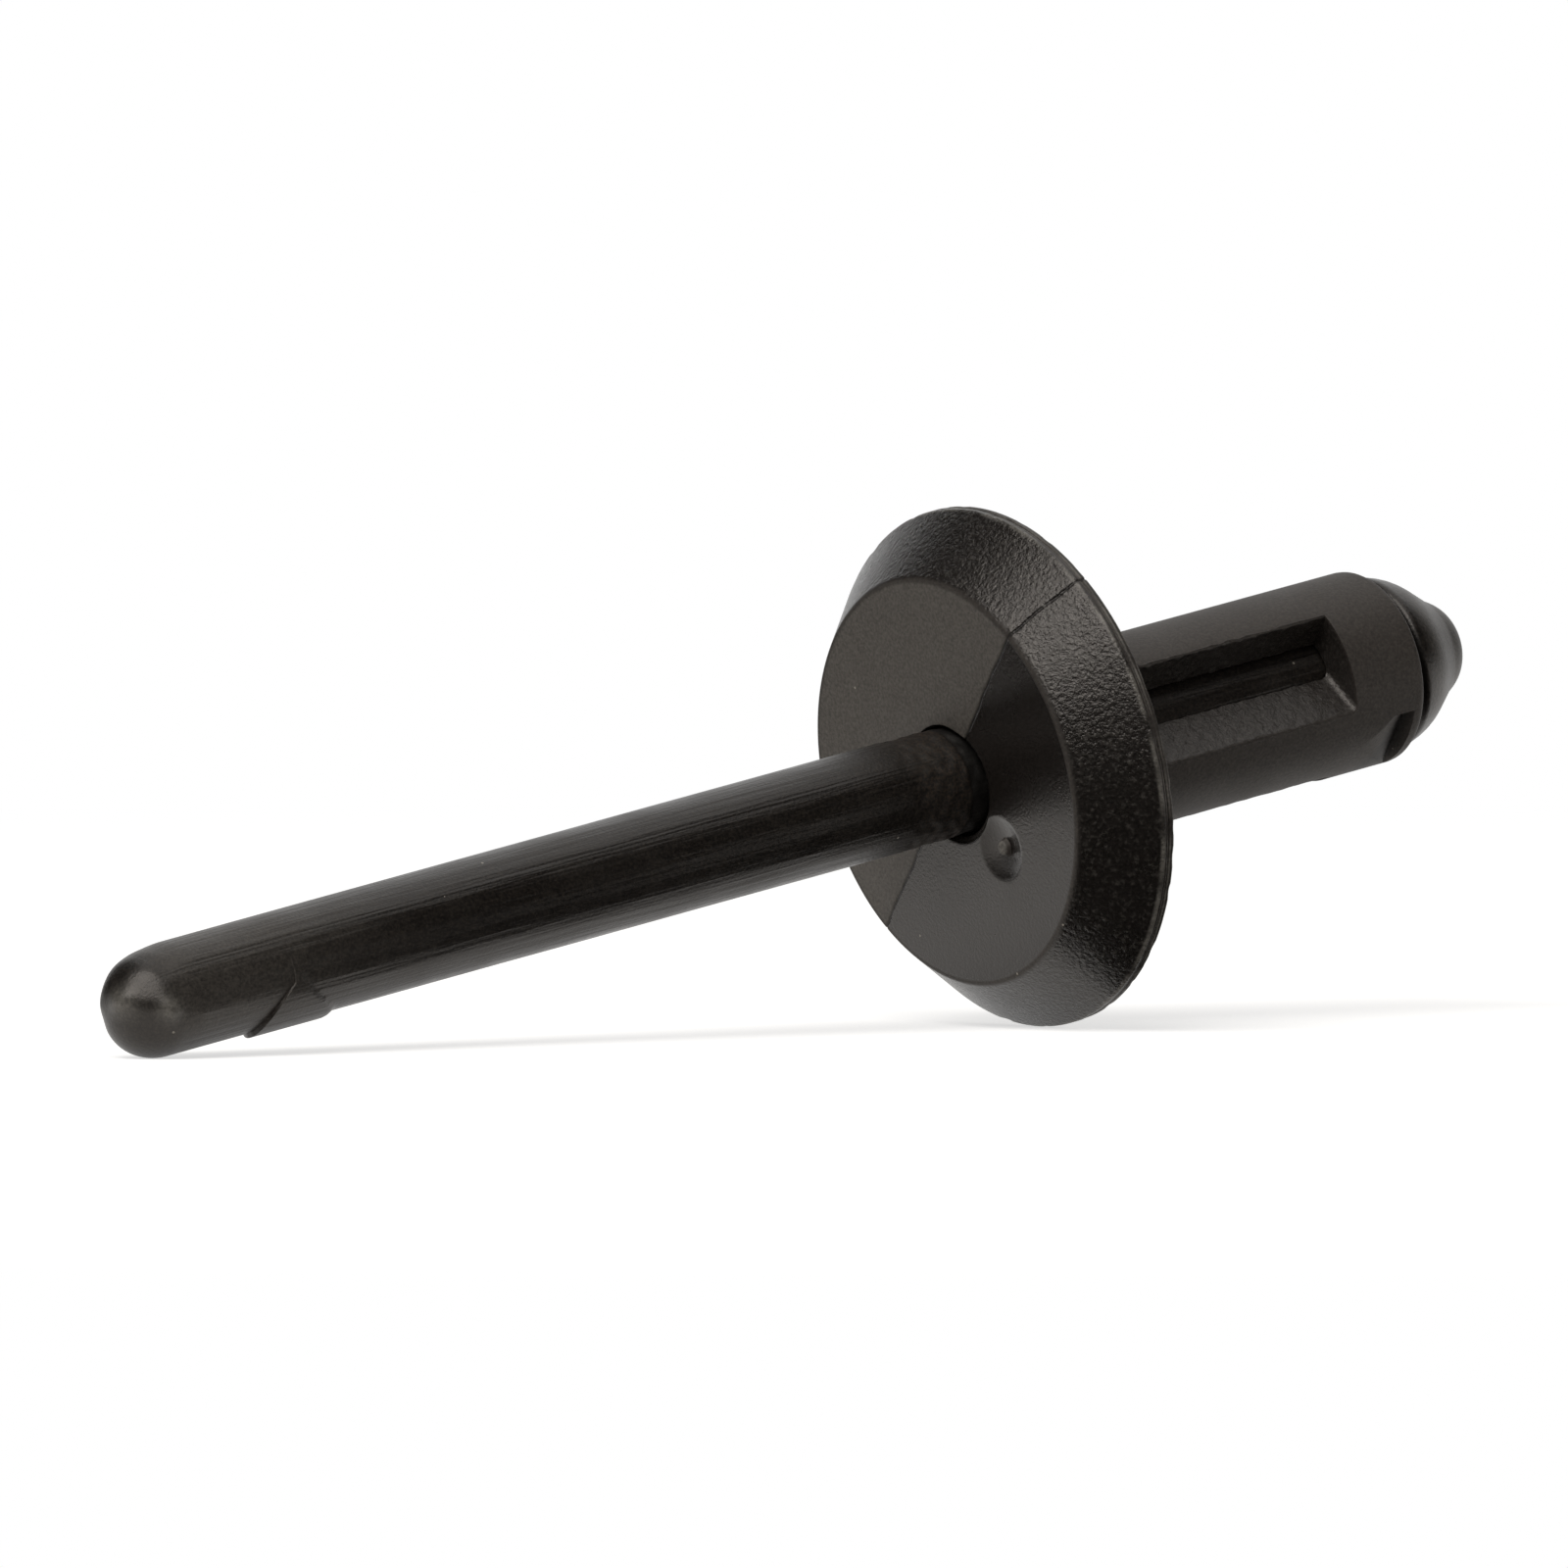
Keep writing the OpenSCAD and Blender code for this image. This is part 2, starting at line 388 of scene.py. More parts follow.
def spread(count, *peaks):
    """Angles round the axis, denser about each (centre, width, weight) in degrees.

    They are even steps of the running sum of 1 and a bell for each peak, taken every 40th of a degree.
    """
    fine = np.linspace(-180, 180, 360 * 40 + 1)
    density = np.ones_like(fine)
    for centre, width, weight in peaks:
        gap = (fine - centre + 180) % 360 - 180
        density += weight * np.exp(-(gap / width) ** 2)
    total = np.concatenate([[0], np.cumsum((density[1:] + density[:-1]) / 2)])
    return np.radians(np.interp(np.arange(count) / count * total[-1], total, fine))


def quads(rows, columns, wrap_rows, wrap_columns):
    """Corner numbers of a grid's faces, with its last row or column joined to the first where it wraps."""
    i = np.arange(rows if wrap_rows else rows - 1)[:, None]
    j = np.arange(columns if wrap_columns else columns - 1)[None]
    k, m = (i + 1) % rows, (j + 1) % columns
    corners = [i * columns + j, i * columns + m, k * columns + m, k * columns + j]
    return np.stack(corners, -1).reshape(-1, 4)


def fan(ring, centre, flip):
    """Triangles from a ring of point numbers to a centre point."""
    ring = ring[::-1] if flip else ring
    after = np.roll(ring, -1)
    return np.stack([ring, after, np.full(len(ring), centre)], -1)


def capped(rows, columns, flip=False):
    """Faces of a grid that wraps round, closed by fans to two poles, whose numbers follow the grid's own."""
    ring, pole = np.arange(columns), rows * columns
    sides = quads(rows, columns, False, True)
    return [sides[:, ::-1] if flip else sides,
            fan(ring, pole, not flip), fan(ring + (rows - 1) * columns, pole + 1, flip)]


def make_mesh(name, points, faces, attributes=None, sharp=38):
    """Puts point and face arrays into a mesh object at the origin, smooth up to the sharp angle."""
    mesh = bpy.data.meshes.new(name)
    counts = np.concatenate([np.full(len(f), f.shape[1]) for f in faces])
    corners = np.concatenate([f.ravel() for f in faces])
    mesh.vertices.add(len(points))
    mesh.vertices.foreach_set("co", np.ascontiguousarray(points, np.float32).ravel())
    mesh.loops.add(len(corners))
    mesh.loops.foreach_set("vertex_index", corners.astype(np.int32))
    mesh.polygons.add(len(counts))
    mesh.polygons.foreach_set("loop_start", (np.cumsum(counts) - counts).astype(np.int32))
    mesh.polygons.foreach_set("loop_total", counts.astype(np.int32))
    mesh.update(calc_edges=True)
    if mesh.validate():
        raise RuntimeError(f"{name}: the mesh had faces that are not valid")
    for key, values in (attributes or {}).items():
        mesh.attributes.new(key, "FLOAT", "POINT").data.foreach_set("value", values.astype(np.float32))
    mesh.polygons.foreach_set("use_smooth", np.ones(len(counts), bool))
    mesh.set_sharp_from_angle(angle=math.radians(sharp))
    piece = bpy.data.objects.new(name, mesh)
    bpy.context.scene.collection.objects.link(piece)
    return piece


def fitted(piece, body, node, material):
    """Gives a piece its material and its body, and hides the solid that it stands for."""
    piece.data.materials.append(material)
    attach(piece, body)
    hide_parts(node)


# Shapes. All are worked out in millimetres about the rivet's axis: z runs to the blind end from the underside

def flange_shape(size):
    """The flange and the collar: a closed section with rounded edges, carried once round the axis.

    The hole's mouth is wider on one side and narrower on the other, by a smooth step of the angle. The flat
    face is pressed in by a shallow ball at the gate. A fine groove of wavering course follows the mould's
    parting plane, x = 0, over the face, the bevel and the rim: a bell across the plane, sunk along the
    section's normal. Small nicks, smooth noise along the rim, are taken off the rim's edges.
    """
    face_r, flange_h, rim_h, sleeve_r, bore_r, mouth_r, collar_end = (
        getattr(size, key) / MM for key in (
            "face_r", "flange_h", "rim_h", "sleeve_r", "bore_r", "mouth_r", "collar_end"))
    # The rim stays a hair inside the solid's
    rim, groove = size.flange_r / MM - 0.003, rim_h / 2
    r, z, run = rounded([
        (mouth_r, -flange_h, 0.05, 58),
        (face_r, -flange_h, 0.07, 30),
        (rim, -rim_h, 0.05, 3),
        (rim, -groove - GROOVE_HALF, 0.015, 0),
        (rim - GROOVE_DEPTH, -groove, 0.015, 0),
        (rim, -groove + GROOVE_HALF, 0.015, 3),
        (rim, 0.0, 0.06, 24),
        (sleeve_r, 0.0, 0.0, 14),
        (sleeve_r, collar_end, 0.0, 6),
        (bore_r, collar_end, 0.0, 20),
        (bore_r, MOUTH_DEPTH - flange_h, 0.04, 3),
    ])
    along = np.stack([np.roll(r, -1) - np.roll(r, 1), np.roll(z, -1) - np.roll(z, 1)])
    along /= np.linalg.norm(along, axis=0)
    normal_r, normal_z = along[1][:, None], -along[0][:, None]
    angle = spread(430, (0, 13, 3.2), (90, 1.6, 10), (-90, 1.6, 10))
    r, z, run = (np.repeat(values[:, None], len(angle), 1) for values in (r, z, run))

    # The mouth is wider on one side than on the other, since the stem stands off the hole's middle
    lean = smoothstep(0, 0.5, 0.5 - 0.5 * np.cos(angle - math.radians(-20)))
    close = np.clip((r - bore_r) / MOUTH_W, 0, 1) * smoothstep(mouth_r + 0.5, mouth_r + 0.02, r)
    r = r + (MOUTH_WIDER - MOUTH_SWING * lean) * close * (z < MOUTH_DEPTH + 0.01 - flange_h)
    x, y = r * np.cos(angle), r * np.sin(angle)
    face = (run >= -0.5) & (run < 0.4)
    outside = (run >= -0.5) & (run <= 5.6)
    rim_side = (run >= 1.5) & (run <= 5.6)
    edges = (run == 1.5) | (run == 2.5) | (run == 4.5) | (run == 5.5)
    bevel = smoothstep(face_r - 0.02, face_r + 0.12, r) * outside
    flat = face * (1 - bevel)

    # The gate's dimple, with a soft edge
    near = np.hypot(x - DIMPLE_POS, y)
    ball = (DIMPLE_R ** 2 + DIMPLE_DEPTH ** 2) / (2 * DIMPLE_DEPTH)
    sunk = np.sqrt(np.maximum(ball ** 2 - near ** 2, 0)) - (ball - DIMPLE_DEPTH)
    dimple = 0.5 * (sunk + np.sqrt(sunk ** 2 + 0.012 ** 2)) * smoothstep(1.5, 1.0, near) * face

    # The parting line and the nicks, all inwards
    course = 0.022 * np.sin(1.9 * y + 0.5) + 0.012 * np.sin(5.3 * y)
    line = np.exp(-((x - course) / PARTING_W) ** 2) * outside
    nick = np.clip(ripple(x, y, z, 0.9, 11) - 0.15, 0, 1) * rim_side
    depth = PARTING_DEPTH * line * (0.8 + 0.2 * np.sin(7 * y + 1)) + NICK_DEPTH * nick
    r, z = r - depth * normal_r, z - depth * normal_z + dimple
    attributes = {
        "grain": bevel * np.where(run < 1.6, 1.0, 0.35),
        "plain": flat,
        # The gate's half is painted darker: painted shade for the stem's dark reflection
        "gate_half": smoothstep(-0.012, 0.012, x - course) * flat,
        # The face's other half is painted paler: painted sheen
        "painted_sheen": smoothstep(0.012, -0.012, x - course) * flat,
        "parting_and_shade": line,
        # Painted highlights along the rim's edges
        "painted_highlight": edges * smoothstep(-0.9, 0.5, ripple(x, y, z, 1.3, 12)),
    }
    points = laid(r * np.cos(angle), r * np.sin(angle), z, size.body_turn).reshape(-1, 3)
    return points, [quads(*r.shape, True, True)], {key: values.ravel() for key, values in attributes.items()}


def leg_shape(size, flank_a, flank_b):
    """One leg of the sleeve: a section of two arcs and two flat flanks, carried along the axis.

    flank_a and flank_b take a radius and the flare, arrays along the leg, and give the flank's point on that
    radius. The flare follows the round corners at the slots' ends. The section runs along the outer arc, down
    flank b, back along the bore and up flank a. Its outer edges are rounded by parabolas of uneven size, and
    the flanks are lumpy by smooth noise. The leg's ends step in a little and stand inside collar and ring.
    """
    start, end, fillet = size.collar_end / MM, size.slot_end / MM, size.slot_round / MM
    reach, step = 0.06, 0.05
    z = np.concatenate([
        [start - reach], start + fillet * (1 - np.cos(np.linspace(0, math.pi / 2, 9))),
        np.linspace(start + fillet, end - fillet, 90)[1:-1],
        end - fillet * (1 - np.cos(np.linspace(math.pi / 2, 0, 9))), [end + reach]])
    from_end = np.minimum(z - start, end - z)
    height = np.clip(from_end, 0, fillet)
    tucked = np.where((z < start) | (z > end), step, 0.0)
    flare = fillet - np.sqrt(np.maximum(fillet ** 2 - (fillet - height) ** 2, 0)) - tucked
    outer = np.interp(z, [start, size.sleeve_len / MM - END_ROUND],
                      [size.sleeve_r / MM, size.sleeve_end_r / MM]) - tucked
    bore = size.bore_r / MM + tucked
    soft = EDGE_ROUND + EDGE_CHANGE * ripple(z, 0 * z, 0 * z, 0.7, 21) * smoothstep(0, 0.5, from_end)

    def turns(p, q):
        """The angles of two flanks' points, the second within half a turn of the first."""
        first, second = np.arctan2(p[1], p[0]), np.arctan2(q[1], q[0])
        return first, first + (second - first + math.pi) % (2 * math.pi) - math.pi

    def arc(radius, first, last, count):
        """Points of a circle, in even steps from the first angle to the last."""
        angle = first[:, None] + (last - first)[:, None] * np.linspace(0, 1, count)
        return radius[:, None, None] * np.stack([np.cos(angle), np.sin(angle)], -1)

    def straight(p, q, count):
        """Points in even steps from p to q."""
        return p[:, None] + (q - p)[:, None] * np.linspace(0, 1, count)[:, None]

    def bend(p, corner, q):
        """Four points between the ends of the parabola that leaves p and reaches q towards the corner."""
        t = np.linspace(0, 1, 6)[1:-1, None]
        return (1 - t) ** 2 * p[:, None] + 2 * t * (1 - t) * corner[:, None] + t ** 2 * q[:, None]

    a_out, b_out = flank_a(outer, flare), flank_b(outer, flare)
    a_in, b_in = flank_a(bore, flare), flank_b(bore, flare)
    first, last = turns(a_out, b_out)
    inset = np.sign(last - first) * soft / outer
    top = arc(outer, first + inset, last - inset, 26)
    a_out, b_out, a_in, b_in = a_out.T, b_out.T, a_in.T, b_in.T
    a_down, b_down = (out + (inn - out) / np.linalg.norm(inn - out, axis=1)[:, None] * soft[:, None]
                      for out, inn in ((a_out, a_in), (b_out, b_in)))
    parts = [top, bend(top[:, -1], b_out, b_down), straight(b_down, b_in, 14),
             arc(bore, *turns(b_in.T, a_in.T), 14)[:, 1:-1], straight(a_in, a_down, 14),
             bend(a_down, a_out, top[:, 0])]
    section = np.concatenate(parts, 1)
    rows, columns = section.shape[:2]

    # Lumps pull the flanks towards the middle of the leg
    pulls = (0, -0.5, -1, 0, 1, 0.5)
    side = np.concatenate([np.full(part.shape[1], pull) for part, pull in zip(parts, pulls)])
    z = np.repeat(z[:, None], columns, 1)
    x, y = section[..., 0], section[..., 1]
    lump = FLANK_LUMP * (1 + ripple(x, y, z, 0.42, 22)) * smoothstep(0, 0.4, from_end)[:, None]
    turn = side * np.sign(last - first)[:, None] * lump / np.hypot(x, y)
    x, y = x * np.cos(turn) - y * np.sin(turn), x * np.sin(turn) + y * np.cos(turn)
    points = laid(x, y, z, size.body_turn)
    poles = points[[0, -1]].mean(1)
    grain = np.concatenate([np.repeat(0.7 * np.abs(side)[None], rows, 0).ravel(), [0, 0]])
    return np.concatenate([points.reshape(-1, 3), poles]), capped(rows, columns), {"grain": grain}


def ring_shape(size):
    """The closed ring at the blind end: a section carried round the axis, with the fold pocket pressed in.

    In the pocket the outer wall is cut back to a ramp, which falls as a power of the way along it and ends at
    an upright step. The pocket has a wall on one side, and runs out smoothly on the lower one.
    """
    start, end = size.slot_end / MM, size.sleeve_len / MM
    bore, end_r = size.bore_r / MM, size.sleeve_end_r / MM
    start_r = np.interp(start, [size.collar_end / MM, end - END_ROUND], [size.sleeve_r / MM, end_r])
    r, z, run = rounded([
        (bore, start, 0.0, 8),
        (start_r, start, 0.0, 60),
        (end_r, end, 0.22, 6),
        (bore, end, 0.04, 12),
    ])
    angle = spread(300, (30, 7, 4), (-18.6, 1.2, 14), (5, 20, 1.5))
    x, y = r[:, None] * np.cos(angle), r[:, None] * np.sin(angle)
    z, run = (np.repeat(values[:, None], len(angle), 1) for values in (z, run))
    pocket_end = start + POCKET_LEN
    part = np.clip((z - start) / POCKET_LEN, 0, 1)
    ramp = end_r + 0.01 - POCKET_DEPTH * part ** POCKET_CURVE
    inside = smoothstep(pocket_end + 0.02, pocket_end - 0.05, z) * ((run > 0.6) & (run < 2.4)) * (x > 0)
    inside = inside * smoothstep(POCKET_WALL, POCKET_WALL + 0.045, y)
    deep = (x - np.minimum(x, ramp)) * inside * smoothstep(1.75, 1.6, y)
    # Its lower part is painted dark: painted shade
    dark = inside * smoothstep(0.5, 0.75, part + 0.24 * y)
    points = laid(x - deep, y, z, size.body_turn).reshape(-1, 3)
    attributes = {"grain": (0.7 * (run < 0.5)).ravel(), "parting_and_shade": dark.ravel()}
    return points, [quads(*z.shape, True, True)], attributes


def nub_shape(size):
    """The torn nub in the gate's dimple: a lumpy cone on a small grid, closed by a pole at its torn top.

    Its radius shrinks with a power of the height and waves with the angle. The top is drawn in, and uneven.
    """
    t = np.linspace(0, 1, 14)[:, None]
    angle = np.linspace(0, 2 * math.pi, 40, endpoint=False)[None]
    lumps = 1 + 0.10 * np.sin(3 * angle + 1.1) + 0.06 * np.sin(5 * angle + 0.4)
    radius = NUB_R * (1 - 0.42 * t ** 0.8) * lumps
    radius = np.where(t > 0.85, radius * (1 - (t - 0.85) / 0.15 * 0.5), radius)
    rise = NUB_H * t + 0.03 * t * np.sin(2 * angle + 0.6)
    x, y = DIMPLE_POS + radius * np.cos(angle), radius * np.sin(angle)
    points = laid(x, y, DIMPLE_DEPTH - size.flange_h / MM - rise, size.body_turn)
    poles = points[[0, -1]].mean(1)
    # Painted highlight on the nub's upper part
    painted_highlight = np.concatenate([np.repeat(smoothstep(0.45, 0.8, t), x.shape[1], 1).ravel(), [0, 1]])
    return np.concatenate([points.reshape(-1, 3), poles]), capped(*x.shape, flip=True), {"painted_highlight": painted_highlight}


def mandrel_shape(size):
    """The mandrel: a section from the stem's end to the nose, carried round the axis, with poles at its ends.

    The stem's end is a ball, unevenly sunk but for two bell-shaped knobs, which carry painted highlights. The
    trimmed gate is the stem's own circle set off to one side, with a slanting step at its outer end, which the
    grid's rows follow, and run out smoothly at the other. A pair of faint lines follows the mould's parting.
    The stem's root is lumpy by smooth noise and painted brown, as painted shade for the flange's dark
    reflection, with a slight waist in the hole's mouth, painted darker still as shade. The head has a rounded
    shoulder, with painted shade beneath it, and the nose is a cubic curve that starts along the cone. A pale
    painted sheen lies on the stem's upper side towards its end and on the head.
    """
    stem, head, nose = size.stem_r / MM, size.head_r / MM, size.nose_r / MM
    face, seat = -size.flange_h / MM, size.sleeve_len / MM
    ball = face - size.stem_len / MM + stem
    neck, shoulder = seat - NECK_POS, seat + SHOULDER_GAP
    nose_base = shoulder + CONE_LEN
    cone_r, cone_z, tip = nose + 0.22, nose_base - 0.3, nose_base + NOSE_RISE
    lug_end = LUG_START + LUG_LEN
    t = np.linspace(0, math.pi / 2, 60)[1:]
    # Rows of the stem and the shaft, closest at the gate's step and in the hole's mouth
    shaft_z = np.concatenate([
        np.linspace(ball, LUG_START - 0.06, 40)[1:],
        [LUG_START - 0.012, LUG_START + 0.012, LUG_START + 0.05],
        np.linspace(LUG_START + 0.15, lug_end + 0.1, 34),
        np.linspace(lug_end + 0.2, face - 3.1, 110),
        np.linspace(face - 3, face - 1, 34),
        np.linspace(face - 0.95, face + 1, 56),
        np.linspace(face + 1.1, neck - 0.5, 60)])
    neck_r, neck_z, neck_run = rounded([
        (stem, neck - NECK_HALF, 0.06, 5),
        (NECK_R, neck, 0.04, 5),
        (stem, neck + NECK_HALF, 0.06, 3),
        (stem, seat, 0.05, 3),
        (SEAT_R, seat, 0.05, 3),
        (head, shoulder, 0.18, 6),
        (head - 0.19, shoulder + 0.77, 0.55, 10),
        (cone_r, cone_z, 0, 0),
    ])
    # The section is open, so its closing run is left out
    keep = neck_run < 6.6
    u = np.linspace(0, 1, 36)[1:-1]
    first, second = (1 - u) ** 3, 3 * u * (1 - u) ** 2
    nose_r = first * cone_r + second * nose + 3 * u ** 2 * (1 - u) * (nose - 0.12)
    nose_z = first * cone_z + second * (nose_base + 0.02) + (3 - 2 * u) * u ** 2 * tip
    r = np.concatenate([stem * np.sin(t), np.full_like(shaft_z, stem), neck_r[keep], nose_r])
    z = np.concatenate([ball - stem * np.cos(t), shaft_z, neck_z[keep], nose_z])
    angle = spread(190, (-107, 3.5, 2.0), (73, 3.5, 1.5), (-70, 70, 0.9))
    r, z = (np.repeat(values[:, None], len(angle), 1) for values in (r, z))

    # The trimmed gate: the larger of the stem's circle and that circle set off, run out at its inner end
    c, s = np.cos(angle)[None], np.sin(angle)[None]
    set_off = LUG_H * c + np.sqrt(stem ** 2 - (LUG_H * s) ** 2)
    rise = np.clip(np.degrees(np.abs(angle))[None] / 60, 0, 1) ** 2
    inner = lug_end - 2.6 * rise
    r = r + np.maximum(set_off - r, 0) * smoothstep(inner, inner - 0.5, z) * (z > LUG_START)
    z = z + 1.15 * rise * np.exp(-((z - LUG_START) / 1.9) ** 2)
    x, y = r * c, r * s

    # The end is unevenly sunk on all sides but the lower one, apart from the knobs, which carry painted
    # highlights
    low = (x * math.cos(size.mandrel_turn) - y * math.sin(size.mandrel_turn)) / stem
    dent = END_SUNK * smoothstep(ball + 0.9, ball - 0.5, z) * smoothstep(0.85, 0.1, low)
    dent = dent * (1 + 0.16 * ripple(x, y, z, 1.15, 44))
    knob_highlight = np.zeros_like(z)
    for at_z, degrees, width, height in END_KNOBS:
        at_r, at_angle = math.sqrt(max(stem ** 2 - min(at_z - ball, 0) ** 2, 0)), math.radians(degrees)
        at_x, at_y = at_r * math.cos(at_angle), at_r * math.sin(at_angle)
        bell = np.exp(-((x - at_x) ** 2 + (y - at_y) ** 2 + (z - at_z) ** 2) / width ** 2)
        dent = dent - height * bell * smoothstep(0.0, 0.1, dent)
        knob_highlight = knob_highlight + bell
    # The lumpy root of the stem, painted brown as shade for the flange's dark reflection, and its waist in the
    # hole's mouth
    shade_begins = smoothstep(face - 2.7, face - 1.9, z + 0.3 * ripple(x, y, z, 1.1, 31))
    root_shade = shade_begins * smoothstep(face + 1.5, face, z)
    lump = ROOT_LUMP * root_shade * (1 + ripple(x, y, z, 0.55, 32))
    # The band in the hole's mouth: a slight waist, painted darker as shade
    hidden = smoothstep(face - 0.42, face - 0.28, z) * smoothstep(face + 1.2, face + 0.5, z)
    waist = WAIST * hidden
    # Slight waviness of the moulded stem
    wave = STEM_WAVE * (ripple(x, y, z * 0.25, 2.2, 3) - 1) * (z < seat - 2)
    # Two fine lines side by side where the mould halves met
    line = np.zeros_like(z)
    for centre in (-107.2, 72.8):
        gap = (np.degrees(angle) - centre + 180) % 360 - 180
        line = line + (np.exp(-((gap - 2.2) / 1.1) ** 2) + np.exp(-((gap + 2.2) / 1.1) ** 2))[None]
    line = line * (z < seat - 2) * smoothstep(ball - 1.2, ball, z)
    change = wave - dent * np.clip(r / stem, 0, 1) - lump - waist - STEM_LINE * line
    shrink = 1 + change / np.maximum(r, 0.2) * smoothstep(0.0, 0.25, r)
    points = laid(x * shrink, y * shrink, z + dent * np.clip((ball - z) / stem, 0, 1), size.mandrel_turn)
    poles = np.concatenate([points[:1].mean(1), laid(np.zeros(1), np.zeros(1), np.array([tip]), 0.0)])

    # Painted sheen on the stem's upper side towards its end, though not on the ball, and on the head; painted
    # shade under the head's shoulder
    stem_sheen = 0.4 * smoothstep(-24, -33, z) * smoothstep(0.2, -0.5, np.sin(angle + 0.6))[None]
    stem_sheen = stem_sheen * smoothstep(ball - 0.9, ball + 0.4, z)
    head_shade = (z > seat - 0.1) * smoothstep(shoulder + 0.05, shoulder - 0.05, z)
    attributes = {
        # The parting lines are darkened, and shade is painted in the hole's mouth and under the head
        "parting_and_shade": np.maximum(np.maximum(0.4 * line, hidden), head_shade),
        "root_shade": root_shade,
        "painted_sheen": np.maximum(stem_sheen, 0.55 * smoothstep(shoulder + 0.1, shoulder + 0.8, z)),
        "painted_highlight": knob_highlight,
        "drawn": smoothstep(ball - 0.4, ball + 1.0, z) * (z < seat - 1),
    }
    attributes = {key: np.concatenate([values.ravel(), [0, 0]]) for key, values in attributes.items()}
    return np.concatenate([points.reshape(-1, 3), poles]), capped(*z.shape), attributes


# Materials

def moulded(name, colour, paler, ior, roughness, patches, finish):
    """A black moulded plastic.

    The eye sees a brownish black with a soft haze. Its skin is finely uneven, so that the haze breaks up into
    specks, with painted shade in the skin's lows and painted light on its tops, and dust lies on it. Where the
    mesh has the attributes, there is more: "grain" is the coarse spark-eroded texture of the bevel, which
    sparkles, with painted glints on its crests; "plain" is the stoned flat face, smoother than the rest, and
    "gate_half" its half beside the gate, polished a little more and painted dark, as painted shade for the
    stem's dark reflection; "drawn" has drag marks along the axis. Further attributes darken the mould's
    parting lines and paint shade in the hollows: the fold pocket, the hole's mouth and under the head. Others
    paint a pale sheen on the face's other half, towards the stem's end and on the head; highlights on the rim's
    edges, the torn nub and the stem end's knobs; and brown shade, the flange's dark reflection, where the stem
    enters the flange.
    """
    material, tree = blank_material(name)
    place = add_node(tree, "ShaderNodeTexCoord").outputs["Object"]
    grain, plain, gate_half, painted_sheen, drawn, parting_and_shade, painted_highlight, root_shade = (
        add_node(tree, "ShaderNodeAttribute", {"attribute_name": key}).outputs["Fac"]
        for key in ("grain", "plain", "gate_half", "painted_sheen", "drawn", "parting_and_shade", "painted_highlight", "root_shade"))

    # Pits of the eroded bevel, with sharp ridges between them
    pits = add_node(tree, "ShaderNodeTexNoise", {
        "Scale": 0.8 / finish.grain_size, "Detail": 3.0, "Roughness": 0.6}, Vector=place).outputs["Fac"]
    deep = add_node(tree, "ShaderNodeMath", {"operation": "MULTIPLY"}, i0=pits, i1=grain).outputs[0]
    relief = add_node(tree, "ShaderNodeBump", {"Strength": 1.0, "Distance": finish.grain_depth},
                      Height=deep).outputs[0]
    # Drag marks along the axis: 0.2 mm apart and some millimetres long
    level = add_node(tree, "ShaderNodeMapping", {
        "vector_type": "TEXTURE", "Rotation": (0, -math.asin(AXIS[2]), 0), "Scale": (25, 1, 1)},
        Vector=place).outputs[0]
    drag = add_node(tree, "ShaderNodeTexNoise", {"Scale": 1 / (0.22 * MM), "Detail": 2.0, "Roughness": 0.5},
                    Vector=level).outputs["Fac"]
    drag = add_node(tree, "ShaderNodeMath", {"operation": "MULTIPLY"}, i0=drag, i1=drawn).outputs[0]
    relief = add_node(tree, "ShaderNodeBump", {"Strength": 1.0, "Distance": 0.04 * MM},
                      Height=drag, Normal=relief).outputs[0]
    # The uneven skin. A real one is finer still; it is drawn 0.1 mm wide, so that it shows
    skin = add_node(tree, "ShaderNodeTexNoise", {"Scale": 1 / (0.10 * MM), "Detail": 2.0, "Roughness": 0.6},
                    Vector=place).outputs["Fac"]
    relief = add_node(tree, "ShaderNodeBump", {"Strength": 0.6, "Distance": 0.018 * MM},
                      Height=skin, Normal=relief).outputs[0]

    # Roughness: flow marks some millimetres long, less on the bevel and the face, more in the painted sheen and
    # in the painted shade at the stem's root
    flow = add_node(tree, "ShaderNodeTexNoise", {"Scale": 1 / (2.0 * MM), "Detail": 4.0, "Roughness": 0.55},
                    Vector=place).outputs["Fac"]
    rough = add_node(tree, "ShaderNodeMath", {
        "operation": "MULTIPLY_ADD", 1: patches, 2: roughness - patches / 2}, i0=flow).outputs[0]
    for part, change in ((grain, finish.grain_change), (plain, finish.plain_change),
                         (gate_half, finish.gate_change), (painted_sheen, 0.12), (root_shade, 0.26)):
        rough = add_node(tree, "ShaderNodeMath", {"operation": "MULTIPLY_ADD", 1: change},
                         i0=part, i2=rough).outputs[0]

    # Colour: mottled, dark on the bevel with painted glints on its crests, dark on the gate's half of the face
    # as painted shade, pale in the painted sheen, brown in the painted shade at the stem's root, paler in
    # painted highlights, darkest in the parting lines and in painted shade in hollows, and grey where dust
    # lies, specks in some of the cells of 0.7 mm
    specks = add_node(tree, "ShaderNodeTexVoronoi", {"Scale": 1 / (0.7 * MM)}, Vector=place).outputs
    close = add_node(tree, "ShaderNodeMath", {"operation": "LESS_THAN", 1: 0.06},
                     i0=specks["Distance"]).outputs[0]
    chosen = add_node(tree, "ShaderNodeMath", {"operation": "GREATER_THAN", 1: 0.72},
                      i0=specks["Color"]).outputs[0]
    dust = add_node(tree, "ShaderNodeMath", {"operation": "MULTIPLY"}, i0=close, i1=chosen).outputs[0]
    mottle = add_node(tree, "ShaderNodeMapRange", {"From Min": 0.4, "From Max": 0.75}, Value=skin).outputs[0]
    cloud = add_node(tree, "ShaderNodeMapRange", {"From Min": 0.5, "From Max": 0.8}, Value=flow).outputs[0]
